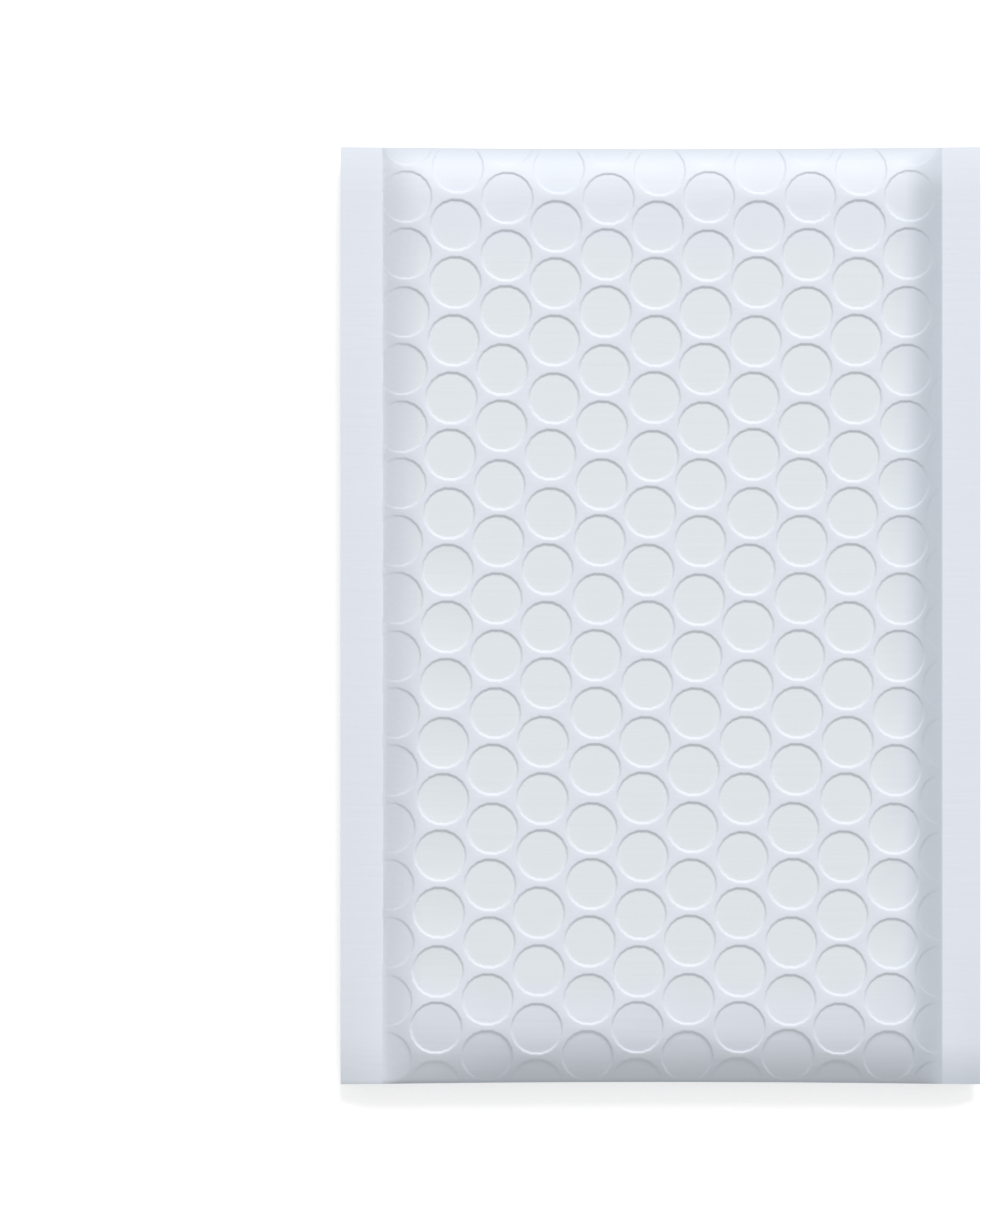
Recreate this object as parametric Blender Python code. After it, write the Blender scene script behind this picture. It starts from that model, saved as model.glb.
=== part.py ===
"""Padded envelope: a bubble-lined film mailer, lying on its back with its closure flap folded under it."""

import math

import bmesh
import bpy
from mathutils import Vector
from mathutils.geometry import delaunay_2d_cdt
from mathutils.kdtree import KDTree

# Outside of the closed mailer. +X is across it, +Y runs up to the fold of the flap, +Z is its front.
WIDTH = 0.1260
LENGTH = 0.1846
THICKNESS = 0.0120
# How far the middle of each folded end draws in from its corners.
TOP_DIP = 0.0004
BOTTOM_DIP = 0.0005

# The side seals, where both walls are welded flat along the whole length.
LEFT_SEAL = 0.0084
RIGHT_SEAL = 0.0077
SEAL_THICKNESS = 0.0005

# How far in from each seal and fold the padding reaches its full height.
LEFT_RISE = 0.0084
RIGHT_RISE = 0.0090
TOP_RISE = 0.0105
BOTTOM_RISE = 0.0150
# Beside a seal it climbs in an even slope for this share of the rise, and then rounds over.
LEFT_SLOPE_SHARE = 0.26
RIGHT_SLOPE_SHARE = 0.42
# Sharpness of the two ends: 0.5 is a round end, and 1 comes to an edge.
TOP_SHARPNESS = 0.50
BOTTOM_SHARPNESS = 0.80

# The bubbles of the lining draw the film down into round, flat-bottomed dimples, in leaning columns.
BUBBLE_PITCH = 0.0113
COLUMN_PITCH = 0.0099
COLUMN_LEAN = math.radians(1.45)
BUBBLE_RADIUS = 0.0052
DIMPLE_WALL = 0.0006
DIMPLE_DEPTH = 0.00045
# They fade out by the seals and folds, below this share of the full padding height.
DIMPLE_FADE = 0.33
BUBBLE_SIDES = 7
# One bubble of the front, measured from the middle of the mailer, places them all.
FIRST_BUBBLE_X = -0.0123
FIRST_BUBBLE_Y = 0.0034

# The closure flap: plain film, folded down over the back.
FLAP_LENGTH = 0.0380
FILM = 0.00035
FOLD_DEPTH = 0.0020
COVERED_DIMPLES = 0.0020
# Past the flap's free edge the back wall comes down again to the table over this length.
FLAP_STEP = 0.0140

# The closure's strips, laid across the inside of the flap.
GAP = 0.0003
ADHESIVE_THICKNESS = 0.0002
ADHESIVE_WIDTH = 0.0120
ADHESIVE_SETBACK = 0.0070
ADHESIVE_END_MARGIN = 0.0030
LINER_THICKNESS = 0.0002
LINER_OVERHANG = 0.0040

# Worked out from the sizes above.
HALF_WIDTH = WIDTH / 2
HALF_LENGTH = LENGTH / 2
SEAL_HEIGHT = THICKNESS / 2
LEFT_LINE = LEFT_SEAL - HALF_WIDTH
RIGHT_LINE = HALF_WIDTH - RIGHT_SEAL
PAD_HEIGHT = (THICKNESS - SEAL_THICKNESS) / 2
POCKET = GAP + ADHESIVE_THICKNESS + GAP + LINER_THICKNESS + GAP
FLAP_EDGE = HALF_LENGTH - FLAP_LENGTH
POCKET_END = HALF_LENGTH - FOLD_DEPTH

# Where the facets bend, as shares of the rise from a seal and from a fold. Film without bubbles has
# the plain bends too, and this many facets between the places of full height.
SIDE_BENDS = (0.0, 0.2)
FOLD_BENDS = (0.05, 0.3)
PLAIN_BENDS = (0.1, 0.35, 0.55, 0.75, 1.0)
PLAIN_FACETS = 5
SAME_POINT = 0.00002


def clear_scene():
    for item in list(bpy.data.objects):
        bpy.data.objects.remove(item, do_unlink=True)


def limit(value, low, high):
    return min(max(value, low), high)


def make_material(name, colour, roughness):
    material = bpy.data.materials.new(name)
    material.use_nodes = True
    shader = material.node_tree.nodes["Principled BSDF"]
    shader.inputs["Base Color"].default_value = (*colour, 1.0)
    shader.inputs["Roughness"].default_value = roughness
    shader.inputs["Metallic"].default_value = 0.0
    return material


def make_object(name, bm, material):
    """Turn a finished bmesh into a named object with its one material."""
    bmesh.ops.recalc_face_normals(bm, faces=bm.faces)
    mesh = bpy.data.meshes.new(name)
    bm.to_mesh(mesh)
    bm.free()
    mesh.shade_smooth()
    mesh.set_sharp_from_angle(angle=math.radians(20))
    mesh.materials.append(material)
    item = bpy.data.objects.new(name, mesh)
    bpy.context.collection.objects.link(item)
    return item


def side_fullness(reach, slope_share):
    """Share of the full height beside a seal: an even slope first, then a round shoulder."""
    shoulder = limit((reach - slope_share) / (1 - slope_share), 0, 1)
    climbed = limit(reach, 0, slope_share) + (1 - slope_share) * (shoulder - shoulder ** 2 / 2)
    return climbed * 2 / (1 + slope_share)


def end_fullness(reach, sharpness):
    """Share of the full height behind a fold: a round end for a sharpness of 0.5."""
    return (1 - (1 - limit(reach, 0, 1)) ** 2) ** sharpness


def fullness(x, y):
    """Share of the full padding height: none at the seals and folds, all of it in the middle."""
    left = side_fullness((x - LEFT_LINE) / LEFT_RISE, LEFT_SLOPE_SHARE)
    right = side_fullness((RIGHT_LINE - x) / RIGHT_RISE, RIGHT_SLOPE_SHARE)
    top = end_fullness((HALF_LENGTH - y) / TOP_RISE, TOP_SHARPNESS)
    bottom = end_fullness((HALF_LENGTH + y) / BOTTOM_RISE, BOTTOM_SHARPNESS)
    return left * right * top * bottom


def front_height(x, y):
    return SEAL_HEIGHT + SEAL_THICKNESS / 2 + PAD_HEIGHT * fullness(x, y)


def back_height(x, y):
    """The back wall, which makes room for the flap and its strips where the flap covers it."""
    past_edge = limit((FLAP_EDGE - y) / FLAP_STEP, 0, 1)
    covered = 1 - past_edge * past_edge * (3 - 2 * past_edge)
    room = (POCKET + FILM) * covered
    return SEAL_HEIGHT - SEAL_THICKNESS / 2 - (PAD_HEIGHT - room) * fullness(x, y)


def flap_inner_height(x, y):
    return SEAL_HEIGHT - SEAL_THICKNESS / 2 - POCKET - (PAD_HEIGHT - POCKET - FILM) * fullness(x, y)


def flap_outer_height(x, y):
    return flap_inner_height(x, y) - FILM


def drawn_in(x, y):
    """Move a point of the straight-ended plan to where the drawn-in ends leave it."""
    dip = TOP_DIP if y > 0 else BOTTOM_DIP
    return y * (1 - dip * (1 - (x / HALF_WIDTH) ** 2) / HALF_LENGTH)


# The outside of the mailer, unrolled into one long web. Each panel has its length along the web, the
# Y where it starts and ends, the height at its start and end, and which way its bubbles sink.
PANELS = (
    (POCKET_END + HALF_LENGTH, POCKET_END, -HALF_LENGTH, back_height, back_height, 1),
    (SEAL_THICKNESS, -HALF_LENGTH, -HALF_LENGTH, back_height, front_height, 0),
    (LENGTH, -HALF_LENGTH, HALF_LENGTH, front_height, front_height, -1),
    (SEAL_THICKNESS + POCKET + FILM, HALF_LENGTH, HALF_LENGTH, front_height, flap_outer_height, 0),
    (FLAP_LENGTH, HALF_LENGTH, FLAP_EDGE, flap_outer_height, flap_outer_height, 0),
    (FILM, FLAP_EDGE, FLAP_EDGE, flap_outer_height, flap_inner_height, 0),
    (POCKET_END - FLAP_EDGE, FLAP_EDGE, POCKET_END, flap_inner_height, flap_inner_height, 0),
    (POCKET, POCKET_END, POCKET_END, flap_inner_height, back_height, 0),
)
PANEL_STARTS = [sum(panel[0] for panel in PANELS[:count]) for count in range(len(PANELS) + 1)]
WEB_LENGTH = PANEL_STARTS[-1]
FRONT_START = PANEL_STARTS[2]
FRONT_END = PANEL_STARTS[3]
# The dimples of the back wall start this far under the flap's free edge, and the web is plain from
# the fold of the flap on.
DIMPLES_START = POCKET_END - FLAP_EDGE - COVERED_DIMPLES
PLAIN_STRETCHES = ((0, DIMPLES_START), (FRONT_END, WEB_LENGTH))


def bubble_centres():
    """Every bubble on the unrolled web: leaning columns, each second one half a pitch further on."""
    centres = []
    columns = math.ceil(WIDTH / COLUMN_PITCH)
    rows = math.ceil(WEB_LENGTH / BUBBLE_PITCH)
    for column in range(-columns, columns + 1):
        for row in range(-rows, rows + 1):
            along = (row + (column % 2) / 2) * BUBBLE_PITCH
            x = FIRST_BUBBLE_X + column * COLUMN_PITCH + along * math.sin(COLUMN_LEAN)
            web = FRONT_START + HALF_LENGTH + FIRST_BUBBLE_Y + along * math.cos(COLUMN_LEAN)
            across = LEFT_LINE - BUBBLE_RADIUS / 2 < x < RIGHT_LINE + BUBBLE_RADIUS / 2
            reach = BUBBLE_RADIUS / 2
            if across and DIMPLES_START - reach < web < FRONT_END + reach:
                centres.append((x, web))
    return centres


def side_bends(shares):
    """The places across the mailer where its facets bend, at shares of the rise from each seal."""
    left = [LEFT_LINE + share * LEFT_RISE for share in shares]
    right = [RIGHT_LINE - share * RIGHT_RISE for share in shares]
    return left + right


def plain_side_bends():
    """Extra bends across plain film: by the seals, and between the places of full height."""
    start = LEFT_LINE + LEFT_RISE
    step = (RIGHT_LINE - RIGHT_RISE - start) / PLAIN_FACETS
    return side_bends(PLAIN_BENDS) + [start + step * count for count in range(1, PLAIN_FACETS)]


def fold_bends(shares):
    """The places along the web where its facets bend, at shares of the rise from each fold."""
    places = []
    for (length, start_y, end_y, *_), start in zip(PANELS, PANEL_STARTS):
        for share in shares:
            for bend_y in (share * BOTTOM_RISE - HALF_LENGTH, HALF_LENGTH - share * TOP_RISE):
                if min(start_y, end_y) < bend_y < max(start_y, end_y):
                    places.append(start + abs(bend_y - start_y))
    return places


def is_plain(web):
    return any(start <= web <= end for start, end in PLAIN_STRETCHES)


def place_on_mailer(x, web, bubbles):
    """Where a point of the unrolled web lies on the folded mailer."""
    index = max(number for number in range(len(PANELS)) if PANEL_STARTS[number] <= web + SAME_POINT)
    length, start_y, end_y, start_height, end_height, sink = PANELS[index]
    share = limit((web - PANEL_STARTS[index]) / length, 0, 1)
    y = start_y + (end_y - start_y) * share
    height = start_height(x, y) * (1 - share) + end_height(x, y) * share
    centre, _, distance = bubbles.find((x, web, 0))
    corner_angle = 2 * math.pi / BUBBLE_SIDES
    turn = math.atan2(web - centre.y, x - centre.x) % corner_angle
    ring = distance * math.cos(turn - corner_angle / 2) / math.cos(corner_angle / 2)
    depth = DIMPLE_DEPTH * limit((BUBBLE_RADIUS - ring) / DIMPLE_WALL, 0, 1)
    faded = 0 if is_plain(web) else limit(fullness(x, y) / DIMPLE_FADE, 0, 1)
    return Vector((x, drawn_in(x, y), height + sink * depth * faded))


def flat_web(centres):
    """Lay out the folds, bends and bubbles on the unrolled web, and fill it with triangles."""
    points = []
    edges = []

    def add_line(start, end):
        first = len(points)
        points.extend((Vector(start), Vector(end)))
        edges.append((first, first + 1))

    def add_ring(x, web, radius):
        first = len(points)
        for corner in range(BUBBLE_SIDES):
            angle = 2 * math.pi * corner / BUBBLE_SIDES
            ring_x = limit(x + radius * math.cos(angle), LEFT_LINE, RIGHT_LINE)
            ring_web = limit(web + radius * math.sin(angle), DIMPLES_START, FRONT_END)
            points.append(Vector((ring_x, ring_web)))
            edges.append((first + corner, first + (corner + 1) % BUBBLE_SIDES))

    for x in (-HALF_WIDTH, HALF_WIDTH, *side_bends(SIDE_BENDS)):
        add_line((x, 0), (x, WEB_LENGTH))
    for x in plain_side_bends():
        for start, end in PLAIN_STRETCHES:
            add_line((x, start), (x, end))
    plain_folds = [web for web in fold_bends(PLAIN_BENDS) if is_plain(web)]
    for web in PANEL_STARTS + [DIMPLES_START] + fold_bends(FOLD_BENDS) + plain_folds:
        add_line((-HALF_WIDTH, web), (HALF_WIDTH, web))
    for x, web in centres:
        add_ring(x, web, BUBBLE_RADIUS)
        add_ring(x, web, BUBBLE_RADIUS - DIMPLE_WALL)
    coords, _, faces, *_ = delaunay_2d_cdt(points, edges, [], 0, SAME_POINT)
    return coords, faces


def mailer_body(material):
    """Front wall, bottom fold, back wall, side seals and flap: one web of bubble-lined film."""
    centres = bubble_centres()
    bubbles = KDTree(len(centres))
    for number, (x, web) in enumerate(centres):
        bubbles.insert((x, web, 0), number)
    bubbles.balance()
    coords, faces = flat_web(centres)
    bm = bmesh.new()
    corners = [bm.verts.new(place_on_mailer(x, web, bubbles)) for x, web in coords]
    for face in faces:
        bm.faces.new([corners[number] for number in face])
    bmesh.ops.remove_doubles(bm, verts=bm.verts, dist=SAME_POINT / 4)
    open_edges = [edge for edge in bm.edges if edge.is_boundary]
    bmesh.ops.holes_fill(bm, edges=open_edges, sides=0)
    return make_object("mailer_body", bm, material)


def closure_strip(name, end_margin, start_y, end_y, clearance, thickness, material):
    """A flat strip across the flap, bent to follow it at a clearance above its inner face."""
    bm = bmesh.new()
    bmesh.ops.create_cube(bm, size=1)
    length = WIDTH - 2 * end_margin
    bmesh.ops.scale(bm, vec=(length, end_y - start_y, thickness), verts=bm.verts)
    middle = (0, (start_y + end_y) / 2, clearance + thickness / 2)
    bmesh.ops.translate(bm, vec=middle, verts=bm.verts)
    for x in side_bends(SIDE_BENDS) + plain_side_bends():
        whole = list(bm.verts) + list(bm.edges) + list(bm.faces)
        bmesh.ops.bisect_plane(bm, geom=whole, dist=SAME_POINT, plane_co=(x, 0, 0), plane_no=(1, 0, 0))
    for vert in bm.verts:
        x, y, above_flap = vert.co
        vert.co = (x, drawn_in(x, y), flap_inner_height(x, y) + above_flap)
    return make_object(name, bm, material)


def adhesive_strip(material):
    start_y = FLAP_EDGE + ADHESIVE_SETBACK
    end_y = start_y + ADHESIVE_WIDTH
    margin = ADHESIVE_END_MARGIN
    closure_strip("adhesive_strip", margin, start_y, end_y, GAP, ADHESIVE_THICKNESS, material)


def release_liner(material):
    start_y = FLAP_EDGE + ADHESIVE_SETBACK - LINER_OVERHANG
    end_y = FLAP_EDGE + ADHESIVE_SETBACK + ADHESIVE_WIDTH + LINER_OVERHANG
    clearance = GAP + ADHESIVE_THICKNESS + GAP
    closure_strip("release_liner", 0, start_y, end_y, clearance, LINER_THICKNESS, material)


clear_scene()
mailer_body(make_material("pearl_white_film", (0.73, 0.77, 0.84), 0.38))
adhesive_strip(make_material("clear_adhesive", (0.80, 0.76, 0.62), 0.25))
release_liner(make_material("release_film", (0.86, 0.87, 0.88), 0.30))
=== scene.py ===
import math
import random

import bmesh
import bpy
from mathutils import Matrix, Vector


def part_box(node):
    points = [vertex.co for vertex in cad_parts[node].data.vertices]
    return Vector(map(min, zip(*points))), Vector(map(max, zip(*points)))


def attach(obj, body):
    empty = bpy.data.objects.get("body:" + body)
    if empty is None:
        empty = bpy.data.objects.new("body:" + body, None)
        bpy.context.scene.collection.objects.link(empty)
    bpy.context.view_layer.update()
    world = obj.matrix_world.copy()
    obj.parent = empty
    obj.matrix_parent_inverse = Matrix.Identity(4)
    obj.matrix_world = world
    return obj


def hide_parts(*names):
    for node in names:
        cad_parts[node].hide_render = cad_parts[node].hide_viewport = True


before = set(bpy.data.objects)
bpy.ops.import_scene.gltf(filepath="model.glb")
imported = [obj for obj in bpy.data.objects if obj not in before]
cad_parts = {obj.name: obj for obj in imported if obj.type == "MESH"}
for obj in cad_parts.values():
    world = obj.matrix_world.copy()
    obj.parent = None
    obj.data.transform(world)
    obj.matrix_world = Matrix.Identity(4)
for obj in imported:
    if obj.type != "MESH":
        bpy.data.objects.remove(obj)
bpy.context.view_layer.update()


# The mailer itself: one web of white co-extruded film with bubble wrap fused to its inside.
# It is folded up at the bottom, welded down both sides, and its plain end is folded over the
# back as the closure flap. The film draws down into a flat-bottomed dimple over every bubble.
_, (half_width, half_length, thickness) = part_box("mailer_body")
top_dip = 0.0004
bottom_dip = 0.0005
same_point = 0.00001
same_height = 0.000001

left_seal = 0.0084
right_seal = 0.0077
seal_thickness = 0.0005
seal_height = thickness / 2
left_line = left_seal - half_width
right_line = half_width - right_seal
end_droop = 0.0007
droop_length = 0.0090
edge_sag = 0.0003
corner_sag = 0.0016
corner_length = 0.0300
free_length = 0.0250

flap_length = 0.0380
film = 0.00035
pocket = 0.0013
fold_depth = 0.0020
flap_step = 0.0140
flap_edge = half_length - flap_length
pocket_end = half_length - fold_depth

pad_height = (thickness - seal_thickness) / 2
left_rise = 0.0084
right_rise = 0.0090
top_rise = 0.0105
bottom_rise = 0.0150
left_slope_share = 0.26
right_slope_share = 0.42
top_sharpness = 0.50
bottom_sharpness = 0.80


def limit(value, low=0, high=1):
    return min(max(value, low), high)


def smooth_step(value):
    value = limit(value)
    return value * value * (3 - 2 * value)


def side_fullness(reach, slope_share):
    """Share of the full height beside a seal: an even slope first, then a round shoulder."""
    shoulder = limit((reach - slope_share) / (1 - slope_share))
    climbed = limit(reach, 0, slope_share) + (1 - slope_share) * (shoulder - shoulder ** 2 / 2)
    return climbed * 2 / (1 + slope_share)


def end_fullness(reach, sharpness):
    """Share of the full height behind a fold: a round end for a sharpness of 0.5."""
    return (1 - (1 - limit(reach)) ** 2) ** sharpness


def fullness(x, y):
    """Shares of the full height behind the left seal, right seal, top fold and bottom fold."""
    left = side_fullness((x - left_line) / left_rise, left_slope_share)
    right = side_fullness((right_line - x) / right_rise, right_slope_share)
    top = end_fullness((half_length - y) / top_rise, top_sharpness)
    bottom = end_fullness((half_length + y) / bottom_rise, bottom_sharpness)
    return left, right, top, bottom


def padding(x, y):
    """Share of the full padding height: none at the seals and folds, all of it in the middle."""
    return math.prod(fullness(x, y))


def middle_height(x, y):
    """Height of the seals: they droop at both ends, and their edges sag clear of the flap."""
    near_end = limit(1 - (half_length - abs(y)) / droop_length)
    near_corner = limit(1 - (half_length + y) / corner_length)
    past_line = max((left_line - x) / left_seal, (x - right_line) / right_seal, 0)
    sag = (edge_sag + corner_sag * near_corner ** 2) * smooth_step((flap_edge - y) / free_length)
    return seal_height - end_droop * near_end ** 2 - sag * past_line ** 2


def front_height(x, y):
    return middle_height(x, y) + seal_thickness / 2 + pad_height * padding(x, y)


def back_height(x, y):
    """The back wall, with room under it for the flap and its strips where the flap covers it."""
    covered = 1 - smooth_step((flap_edge - y) / flap_step)
    room = (pocket + film) * covered
    return middle_height(x, y) - seal_thickness / 2 - (pad_height - room) * padding(x, y)


def flap_inner_height(x, y):
    rise = (pad_height - pocket - film) * padding(x, y)
    return middle_height(x, y) - seal_thickness / 2 - pocket - rise


def flap_outer_height(x, y):
    return flap_inner_height(x, y) - film


# Each panel of the unrolled web: its length, the Y where it starts and ends, the height of its
# start and end, and which way out of it points. In this order: back, bottom fold, front, top
# fold, outside of the flap, its free edge, inside of the flap, and the end of the pocket under it.
panels = (
    (pocket_end + half_length, pocket_end, -half_length, back_height, back_height, -1),
    (seal_thickness, -half_length, -half_length, back_height, front_height, 0),
    (2 * half_length, -half_length, half_length, front_height, front_height, 1),
    (seal_thickness + pocket + film, half_length, half_length, front_height, flap_outer_height, 0),
    (flap_length, half_length, flap_edge, flap_outer_height, flap_outer_height, -1),
    (film, flap_edge, flap_edge, flap_outer_height, flap_inner_height, 0),
    (pocket_end - flap_edge, flap_edge, pocket_end, flap_inner_height, flap_inner_height, 1),
    (pocket, pocket_end, pocket_end, flap_inner_height, back_height, 0),
)
panel_starts = [sum(panel[0] for panel in panels[:count]) for count in range(len(panels) + 1)]
bottom_fold = panel_starts[1:3]
top_fold = panel_starts[3:5]
back_end, front_start, front_end, flap_start = panel_starts[1:5]
inner_flap_start, pocket_start, web_length = panel_starts[6:]

# The bubbles, and how their dimples fade: by a power of the fullness beside the seals, and from
# a share of the full height behind each fold.
bubble_pitch = 0.0113
column_pitch = 0.0099
column_lean = math.radians(1.45)
first_bubble = Vector((-0.0123, 0.0034))
bubble_radius = 0.0052
dimple_depth = 0.00045
side_dimple_fade = 1.3
top_dimple_fade = 0.33
bottom_dimple_fade = 0.72
covered_dimples = 0.0020
dimples_start = pocket_end - flap_edge - covered_dimples


def dimple_share(x, y):
    """How far a dimple is drawn down: less where the film is stretched towards a seal or fold."""
    left, right, top, bottom = fullness(x, y)
    near_folds = limit(top / top_dimple_fade) * limit(bottom / bottom_dimple_fade)
    return (left * right) ** side_dimple_fade * near_folds


def fold_up(x, web, depth):
    """Where a point of the unrolled web lies on the folded mailer."""
    web = web % web_length
    index = max(number for number in range(len(panels)) if panel_starts[number] <= web + same_point)
    length, start_y, end_y, start_height, end_height, outward = panels[index]
    share = limit((web - panel_starts[index]) / length)
    y = start_y + (end_y - start_y) * share
    height = start_height(x, y) * (1 - share) + end_height(x, y) * share
    height += outward * depth * dimple_share(x, y)
    dip = top_dip if y > 0 else bottom_dip
    y *= 1 - dip * (1 - (x / half_width) ** 2) / half_length
    return Vector((x, y, height))


# A dimple is built from rings, from its rim to its floor: share of the radius, share of the
# depth, and whether the film there has the tint of film that is stuck to a bubble. The inset
# that makes a ring may have any size, because its corners are then put in place. Columns of
# tiles are one and a half sides apart. Single bubbles lie a little off the pattern and differ
# a little in size.
tile_corners = 6
ring_corners = 18
column_step = 1.5
dimple_rings = ((1.035, 0, 0), (0.997, 0.07, 0), (0.968, 0.50, 0), (0.939, 0.93, 1), (0.900, 1, 1))
any_inset = 0.0001
pattern_seed = 11
bubble_scatter = 0.00015
furthest_scatter = 0.00024
size_scatter = 0.006


def lay_out_tiles(bm):
    """A hexagonal tile for each bubble of the lined part of the web, joined edge to edge."""
    side = bubble_pitch / math.sqrt(3)
    stretch = column_pitch / (side * column_step)
    tile_turn = Matrix.Rotation(math.pi / tile_corners, 4, "Z")
    columns = math.ceil(half_width / column_pitch) + 1
    rows = math.ceil(web_length / bubble_pitch)
    first_web = front_start + half_length + first_bubble.y
    for column in range(-columns, columns + 2):
        for row in range(-rows, rows):
            across = column * side * column_step
            along = (row + (column % 2) / 2) * bubble_pitch
            if dimples_start - bubble_pitch < first_web + along < front_end + bubble_pitch:
                place = Matrix.Translation((across, along, 0)) @ tile_turn
                bmesh.ops.create_circle(
                    bm, cap_ends=True, segments=tile_corners, radius=side, matrix=place
                )
    bmesh.ops.remove_doubles(bm, verts=bm.verts, dist=same_point)
    for vert in bm.verts:
        across, along, _ = vert.co
        x = first_bubble.x + across * stretch + along * math.sin(column_lean)
        vert.co = (x, first_web + along * math.cos(column_lean), 0)
    bmesh.ops.bisect_edges(bm, edges=bm.edges, cuts=ring_corners // tile_corners - 1)
    return list(bm.faces)


def lay_out_bubbles():
    """The lined part of the web, laid flat, with the dimple of each bubble sunk into its tile."""
    bm = bmesh.new()
    floor_mark = bm.verts.layers.float.new("bubble_floor")
    flat_floor = bm.faces.layers.int.new("flat_floor")
    tiles = lay_out_tiles(bm)
    chance = random.Random(pattern_seed)
    spots = []
    for tile in tiles:
        nudge = Vector((chance.gauss(0, bubble_scatter), chance.gauss(0, bubble_scatter), 0))
        nudge *= min(1, furthest_scatter / nudge.length)
        spots.append((tile.calc_center_median() + nudge, chance.gauss(1, size_scatter)))
    for ring, sunk, mark in dimple_rings:
        bmesh.ops.inset_individual(bm, faces=tiles, thickness=any_inset, use_even_offset=False)
        for tile, (centre, size) in zip(tiles, spots):
            for vert in tile.verts:
                arm = vert.co - centre
                arm.z = 0
                vert.co = centre + arm.normalized() * bubble_radius * ring * size
                vert.co.z = -dimple_depth * sunk
                vert[floor_mark] = mark
    for tile in tiles:
        tile[flat_floor] = 1
    return bm


# How far in from each seal line and fold the film begins to be stuck to its bubbles, and over
# what length it comes to be stuck fully.
left_loose = 0.0055
left_sticking = 0.0015
right_loose = 0.0070
right_sticking = 0.0025
fold_loose = 0.0170
fold_sticking = 0.0030


def stuck_share(x, web):
    """How far the film is stuck to the top of a bubble: fully in the middle of the padding."""
    from_left = limit((x - left_line - left_loose) / left_sticking)
    from_right = limit((right_line - x - right_loose) / right_sticking)
    from_fold = min(abs(web - back_end), abs(web - front_start), abs(front_end - web))
    return from_left * from_right * limit((from_fold - fold_loose) / fold_sticking)


# Painted shade on the film, from 0 to 1: how dark it is painted beside the right seal, along the
# folds and on the seals near the bottom fold, how far from its seal line or fold it reaches, and over
# what length it fades. Beside the right seal it is paler near the top fold, and the painted shade at
# the bottom fold stays clear of the left seal.
right_grey = 0.82
right_grey_width = 0.0088
right_grey_fade = 0.0060
paler_grey = 0.45
paler_length = 0.0040
paler_fade = 0.0050
bottom_grey = 0.4
bottom_grey_length = 0.0100
bottom_grey_fade = 0.0060
clear_width = 0.0060
clear_fade = 0.0180
fold_line_length = 0.0010
top_grey = 0.6
top_grey_length = 0.0032
left_seal_grey = 0.1
right_seal_grey = 0.6
seal_fold_grey = 0.5
seal_grey_length = 0.0085


def painted_shade_share(x, web):
    """How much painted shade the film gets: most beside the right seal and along the folds."""
    on_left_seal = x < left_line - same_point
    on_right_seal = x > right_line + same_point
    from_bottom = min(abs(web % web_length - fold) for fold in bottom_fold)
    from_top = min(abs(web % web_length - fold) for fold in top_fold)
    # Painted shade along the bottom fold line, on the film and on the seals.
    fold_line = limit(1 - from_bottom / fold_line_length)
    if on_left_seal or on_right_seal:
        grey = left_seal_grey if on_left_seal else right_seal_grey
        return max(grey * limit(1 - from_bottom / seal_grey_length), seal_fold_grey * fold_line)
    # Painted shade beside the right seal, paler near the top fold.
    past_paler = smooth_step((from_top - paler_length) / paler_fade)
    beside_right = paler_grey + (right_grey - paler_grey) * past_paler
    beside_right *= smooth_step((x - right_line + right_grey_width) / right_grey_fade)
    past_clear = smooth_step((x - left_line - clear_width) / clear_fade)
    # Painted shade behind the bottom fold, and along the top fold.
    bottom_fold_shade = limit((bottom_grey_length - from_bottom) / bottom_grey_fade)
    bottom_fold_shade *= bottom_grey * past_clear
    top_fold_shade = top_grey * limit(1 - from_top / top_grey_length)
    return max(beside_right, bottom_fold_shade, fold_line, top_fold_shade)


def cut(bm, geometry, place, normal, **clear):
    """Cut part of the flat web along a straight line, and return what is left of it."""
    done = bmesh.ops.bisect_plane(
        bm, geom=geometry, dist=same_point, plane_co=place, plane_no=normal, **clear
    )
    return done["geom"]


def cut_across(bm, web, **clear):
    """Cut the whole flat web straight across."""
    everything = list(bm.verts) + list(bm.edges) + list(bm.faces)
    cut(bm, everything, (0, web, 0), (0, 1, 0), **clear)


def cut_along(bm, x, **clear):
    """Cut the whole flat web along its length."""
    everything = list(bm.verts) + list(bm.edges) + list(bm.faces)
    cut(bm, everything, (x, 0, 0), (1, 0, 0), **clear)


def edges_at(bm, axis, place):
    """The open edges that lie along one straight line of the flat web."""
    return [
        edge
        for edge in bm.edges
        if edge.is_boundary and all(abs(vert.co[axis] - place) < 3 * same_point for vert in edge.verts)
    ]


# The lined stretch: its bubbles are trimmed at the seal lines and the ends, it is cut where the
# padding curves most, and the two seals are drawn out from its sides.
side_curve = (0.0010, 0.0024, 0.0040, 0.0056, 0.0073)
fold_curve = (0.00015, 0.0004, 0.0009, 0.0017, 0.0028, 0.0043, 0.0062, 0.0084, 0.0108, 0.0130)
seal_shares = (0.04, 0.35, 0.7, 1.0)
bm = lay_out_bubbles()
floor_mark = bm.verts.layers.float["bubble_floor"]
cut_along(bm, left_line, clear_inner=True)
cut_along(bm, right_line, clear_outer=True)
cut_across(bm, dimples_start, clear_inner=True)
cut_across(bm, front_end, clear_outer=True)
cut_across(bm, back_end)
cut_across(bm, front_start)
for reach in side_curve:
    cut_along(bm, left_line + reach)
    cut_along(bm, right_line - reach)
for reach in fold_curve:
    cut_across(bm, back_end - reach)
    cut_across(bm, front_start + reach)
    cut_across(bm, front_end - reach)
bmesh.ops.remove_doubles(bm, verts=bm.verts, dist=2 * same_point)
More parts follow.
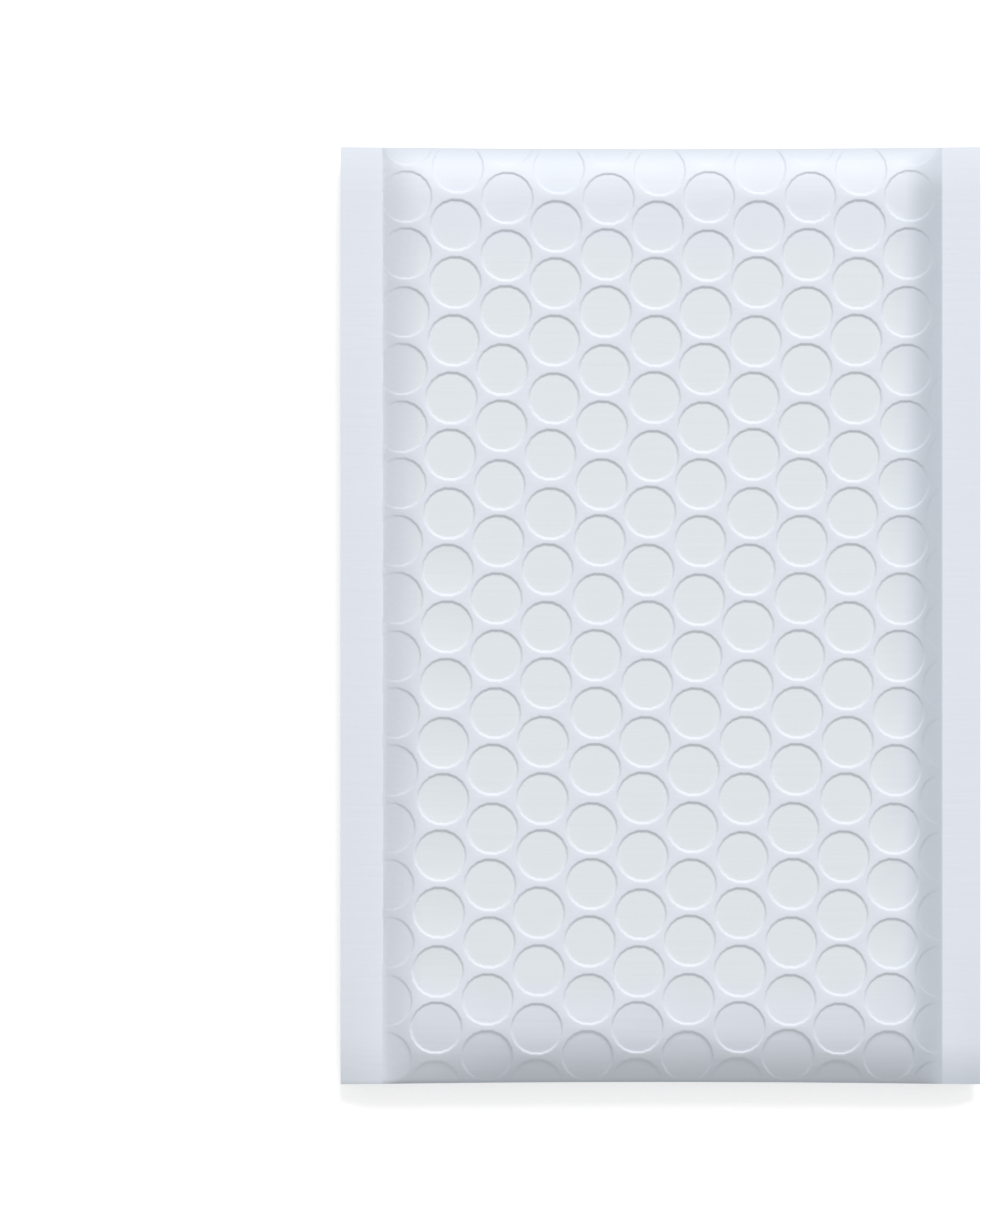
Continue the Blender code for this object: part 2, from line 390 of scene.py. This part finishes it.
for line, side, width in ((left_line, -1, left_seal), (right_line, 1, right_seal)):
    rim = edges_at(bm, 0, line)
    for vert in {vert for edge in rim for vert in edge.verts}:
        vert.co = (line, vert.co.y, 0)
    for share in seal_shares:
        grown = bmesh.ops.extrude_edge_only(bm, edges=rim)["geom"]
        rim = [item for item in grown if isinstance(item, bmesh.types.BMEdge)]
        for vert in {vert for edge in rim for vert in edge.verts}:
            vert.co.x = line + side * width * share
            vert[floor_mark] = 0
for vert in bm.verts:
    vert[floor_mark] *= stuck_share(vert.co.x, vert.co.y)
lined_first = edges_at(bm, 1, dimples_start)
lined_last = edges_at(bm, 1, front_end)

# The plain stretch: fold of the flap, flap, and the back wall under it. It is cut where the
# padding and the folds curve, and at even steps between.
seam = 0.0002
plain_start = front_end + seam
plain_end = web_length + dimples_start - seam
plain_side_curve = (-0.006, -0.003, -0.0003, 0, 0.0004, 0.0010, 0.0024, 0.0040, 0.0056, 0.0073, 0.0090)
plain_fold_curve = (0.00015, 0.0004, 0.0008, 0.0014, 0.0022, 0.0032, 0.0045, 0.0060, 0.0080, 0.0105)
side_steps_start = left_line + left_rise
side_step = 0.0032
side_steps_margin = 0.0010
fold_step = 0.0045
fold_steps = 5
sheet = bmesh.ops.create_grid(bm, x_segments=1, y_segments=1, size=0.5)["verts"]
bmesh.ops.scale(bm, vec=(2 * half_width, plain_end - plain_start, 1), verts=sheet)
bmesh.ops.translate(bm, vec=(0, (plain_start + plain_end) / 2, 0), verts=sheet)
sheet_face = sheet[0].link_faces[0]
plain = sheet + sheet_face.edges[:] + [sheet_face]
for line, side in ((left_line, 1), (right_line, -1)):
    for reach in plain_side_curve:
        plain = cut(bm, plain, (line + side * reach, 0, 0), (1, 0, 0))
level_width = right_line - right_rise - side_steps_margin - side_steps_start
for count in range(1, math.ceil(level_width / side_step)):
    plain = cut(bm, plain, (side_steps_start + count * side_step, 0, 0), (1, 0, 0))
bends = set(panel_starts[3:])
for reach in plain_fold_curve:
    bends.add(flap_start + reach)
    bends.add(pocket_start - reach + fold_depth)
    bends.add(web_length + reach - fold_depth)
for count in range(1, fold_steps + 1):
    bends.add(front_end + (flap_start - front_end) * count / (fold_steps + 1))
    bends.add(flap_start + top_rise + fold_step * count)
    bends.add(inner_flap_start + fold_step * count)
    bends.add(web_length + top_rise - fold_depth + fold_step * count)
for web in sorted(bends):
    if plain_start + same_point < web < plain_end - same_point:
        plain = cut(bm, plain, (0, web, 0), (0, 1, 0))
plain_first = edges_at(bm, 1, plain_start)
plain_last = edges_at(bm, 1, plain_end)

# The web is folded up, and its two stretches are joined into one closed body. The level floors
# of the dimples are shaded flat and the rest smooth, but for the sharp edges of seals and flap.
sharp_angle = math.radians(60)
# Each point keeps, as a mark, how much painted shade its film gets.
painted_shade_mark = bm.verts.layers.float.new("painted_film_shade")
for vert in bm.verts:
    vert[painted_shade_mark] = painted_shade_share(vert.co.x, vert.co.y)
    vert.co = fold_up(*vert.co)
bmesh.ops.bridge_loops(bm, edges=lined_last + plain_first)
bmesh.ops.bridge_loops(bm, edges=plain_last + lined_first)
bmesh.ops.holes_fill(bm, edges=[edge for edge in bm.edges if edge.is_boundary], sides=0)
bmesh.ops.recalc_face_normals(bm, faces=bm.faces)
flat_floor = bm.faces.layers.int["flat_floor"]
for face in bm.faces:
    heights = [vert.co.z for vert in face.verts]
    face.smooth = not face[flat_floor] or max(heights) - min(heights) > same_height
bm.faces.layers.int.remove(flat_floor)
for edge in bm.edges:
    edge.smooth = edge.calc_face_angle(0) < sharp_angle


def face_order(face):
    """The lowest corners of a face as one number, so that each run puts the faces in one order."""
    first, second, third = sorted(vert.index for vert in face.verts)[:3]
    return (first * len(bm.verts) + second) * len(bm.verts) + third


bm.verts.index_update()
bm.faces.sort(key=face_order)

mesh = bpy.data.meshes.new("padded_mailer")
bm.to_mesh(mesh)
bm.free()
mailer = bpy.data.objects.new("padded_mailer", mesh)
bpy.context.scene.collection.objects.link(mailer)


def new_material(name):
    material = bpy.data.materials.new(name)
    material.use_nodes = True
    nodes = material.node_tree.nodes
    return material, nodes["Principled BSDF"], nodes, material.node_tree.links


def noise_field(nodes, links, scale, detail, stretch=(1, 1, 1)):
    """Noise that lies still on the piece, at so many cells to the metre."""
    place = nodes.new("ShaderNodeTexCoord")
    mapping = nodes.new("ShaderNodeMapping")
    mapping.inputs["Scale"].default_value = stretch
    field = nodes.new("ShaderNodeTexNoise")
    field.inputs["Scale"].default_value = scale
    field.inputs["Detail"].default_value = detail
    links.new(place.outputs["Object"], mapping.inputs["Vector"])
    links.new(mapping.outputs["Vector"], field.inputs["Vector"])
    return field.outputs["Fac"]


def spread(nodes, links, noise, low, high):
    """Noise keeps to the middle of 0 to 1. It is spread here between two values."""
    ramp = nodes.new("ShaderNodeMapRange")
    ramp.inputs["From Min"].default_value = 0.3
    ramp.inputs["From Max"].default_value = 0.7
    ramp.inputs["To Min"].default_value = low
    ramp.inputs["To Max"].default_value = high
    links.new(noise, ramp.inputs["Value"])
    return ramp.outputs["Result"]


def blend_colours(nodes, links, share, first, second, blend_type="MIX"):
    """Blend a second colour into the first, which is a colour or what another blend gives."""
    mix = nodes.new("ShaderNodeMix")
    mix.data_type = "RGBA"
    mix.blend_type = blend_type
    mix.inputs["B"].default_value = (*second, 1)
    links.new(share, mix.inputs["Factor"])
    if isinstance(first, tuple):
        mix.inputs["A"].default_value = (*first, 1)
    else:
        links.new(first, mix.inputs["A"])
    return mix.outputs["Result"]


def vertex_mark(nodes, name):
    mark = nodes.new("ShaderNodeAttribute")
    mark.attribute_name = name
    return mark.outputs["Fac"]


def bump_surface(nodes, links, shader, field, strength, distance):
    bump = nodes.new("ShaderNodeBump")
    bump.inputs["Strength"].default_value = strength
    bump.inputs["Distance"].default_value = distance
    links.new(field, bump.inputs["Height"])
    links.new(bump.outputs["Normal"], shader.inputs["Normal"])


film_white = (0.730, 0.768, 0.840)
film_cloud = (0.746, 0.780, 0.844)
stuck_white = (0.744, 0.784, 0.817)
# The grey that paints shade on the film where it rolls down to a seal or fold.
painted_shade_grey = (0.680, 0.705, 0.715)
smoothest, roughest = 0.64, 0.74
pearl_film, shader, nodes, links = new_material("pearl_white_film")
shader.inputs["IOR"].default_value = 1.48
clouds = spread(nodes, links, noise_field(nodes, links, scale=55, detail=3), 0, 1)
colour = blend_colours(nodes, links, clouds, film_white, film_cloud)
colour = blend_colours(nodes, links, vertex_mark(nodes, "bubble_floor"), colour, stuck_white)
# Painted shade: the film's colour is darkened by its painted shade mark.
colour = blend_colours(
    nodes, links, vertex_mark(nodes, "painted_film_shade"), colour, painted_shade_grey, blend_type="MULTIPLY"
)
links.new(colour, shader.inputs["Base Color"])
patches = noise_field(nodes, links, scale=160, detail=2)
links.new(spread(nodes, links, patches, smoothest, roughest), shader.inputs["Roughness"])
grain = noise_field(nodes, links, scale=900, detail=3, stretch=(0.04, 1, 1))
bump_surface(nodes, links, shader, grain, strength=0.8, distance=0.00005)
mesh.materials.append(pearl_film)

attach(mailer, "root")
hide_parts("mailer_body")


# The adhesive strip: a band of clear hot-melt glue laid across the inside of the flap, near its
# free edge. Its surface is slightly wavy from the nozzle.
glue_thin = (0.78, 0.75, 0.62)
glue_thick = (0.84, 0.82, 0.72)
glue, shader, nodes, links = new_material("clear_hot_melt")
shader.inputs["Roughness"].default_value = 0.22
waves = noise_field(nodes, links, scale=220, detail=2, stretch=(0.15, 1, 1))
colour = blend_colours(nodes, links, spread(nodes, links, waves, 0, 1), glue_thin, glue_thick)
links.new(colour, shader.inputs["Base Color"])
bump_surface(nodes, links, shader, waves, strength=0.3, distance=0.0001)
strip_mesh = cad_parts["adhesive_strip"].data
strip_mesh.materials.clear()
strip_mesh.materials.append(glue)


# The release liner: thin siliconed film that covers the adhesive until the mailer is closed.
# It is peeled off by hand, so it is a little wider than the adhesive.
liner_white = (0.84, 0.85, 0.86)
liner_crease = (0.88, 0.89, 0.90)
liner, shader, nodes, links = new_material("siliconed_liner")
shader.inputs["Roughness"].default_value = 0.28
creases = noise_field(nodes, links, scale=90, detail=2, stretch=(1, 0.3, 1))
colour = blend_colours(nodes, links, spread(nodes, links, creases, 0, 1), liner_white, liner_crease)
links.new(colour, shader.inputs["Base Color"])
bump_surface(nodes, links, shader, creases, strength=0.2, distance=0.0001)
liner_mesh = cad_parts["release_liner"].data
liner_mesh.materials.clear()
liner_mesh.materials.append(liner)


# The studio: a white floor that the mailer lies on, one broad lamp beyond its top end, slightly
# to the right, even light from all round, and a camera straight above.
floor_reach = 6
floor_grey = 0.8
floor_lift = 0.50
floor_mesh = bpy.data.meshes.new("studio_floor")
bm = bmesh.new()
bmesh.ops.create_grid(bm, x_segments=1, y_segments=1, size=floor_reach)
bm.to_mesh(floor_mesh)
bm.free()
studio_floor = bpy.data.objects.new("studio_floor", floor_mesh)
bpy.context.scene.collection.objects.link(studio_floor)
floor_white, shader, nodes, links = new_material("floor_white")
shader.inputs["Roughness"].default_value = 0.9
shader.inputs["Specular IOR Level"].default_value = 0.0
shader.inputs["Base Color"].default_value = (floor_grey, floor_grey, floor_grey, 1)
shader.inputs["Emission Color"].default_value = (1, 1, 1, 1)
path = nodes.new("ShaderNodeLightPath")
lift = nodes.new("ShaderNodeMath")
lift.operation = "MULTIPLY"
lift.inputs[1].default_value = floor_lift
links.new(path.outputs["Is Camera Ray"], lift.inputs[0])
links.new(lift.outputs["Value"], shader.inputs["Emission Strength"])
floor_mesh.materials.append(floor_white)

# The world gives an even light, and is white to the camera, through glass and in reflections.
even_light = 0.54
world = bpy.data.worlds.new("studio_light")
bpy.context.scene.world = world
world.use_nodes = True
nodes = world.node_tree.nodes
links = world.node_tree.links
background = nodes["Background"]
background.inputs["Color"].default_value = (1, 1, 1, 1)
path = nodes.new("ShaderNodeLightPath")
direct = nodes.new("ShaderNodeMath")
direct.operation = "MAXIMUM"
links.new(path.outputs["Is Camera Ray"], direct.inputs[0])
links.new(path.outputs["Is Transmission Ray"], direct.inputs[1])
seen = nodes.new("ShaderNodeMath")
seen.operation = "MAXIMUM"
links.new(direct.outputs["Value"], seen.inputs[0])
links.new(path.outputs["Is Glossy Ray"], seen.inputs[1])
level = nodes.new("ShaderNodeMapRange")
level.inputs["To Min"].default_value = even_light
level.inputs["To Max"].default_value = 1.0
links.new(seen.outputs["Value"], level.inputs["Value"])
links.new(level.outputs["Result"], background.inputs["Strength"])

lamp_width = 1.6
lamp_distance = 3.4
lamp_tilt = math.radians(48)
lamp_turn = math.radians(10)
lamp_share = 0.68
lamp_light = bpy.data.lights.new("key_light", "AREA")
lamp_light.shape = "DISK"
lamp_light.size = lamp_width
lamp_light.energy = lamp_share * (math.pi * lamp_distance) ** 2
lamp = bpy.data.objects.new("key_light", lamp_light)
bpy.context.scene.collection.objects.link(lamp)
direction = Vector((
    math.sin(lamp_tilt) * math.sin(lamp_turn),
    math.sin(lamp_tilt) * math.cos(lamp_turn),
    math.cos(lamp_tilt),
))
lamp.location = direction * lamp_distance
lamp.rotation_euler = direction.to_track_quat("Z", "Y").to_euler()

# The camera: the mailer's centre lies at this pixel of the photo, at this many pixels to a metre.
photo_width, photo_height = 1000, 1221
pixels_per_metre = 5080
centre_column, centre_row = 660.5, 615.7
camera_height = 3.0
sensor = 36
furthest_seen = 20
camera_data = bpy.data.cameras.new("photo_camera")
camera_data.sensor_width = sensor
camera_data.lens = sensor * camera_height / (photo_height / pixels_per_metre)
camera_data.clip_end = furthest_seen
camera = bpy.data.objects.new("photo_camera", camera_data)
bpy.context.scene.collection.objects.link(camera)
camera.location = (
    (photo_width / 2 - centre_column) / pixels_per_metre,
    (centre_row - photo_height / 2) / pixels_per_metre,
    camera_height + seal_height,
)
bpy.context.scene.camera = camera
bpy.context.scene.view_settings.view_transform = "Standard"
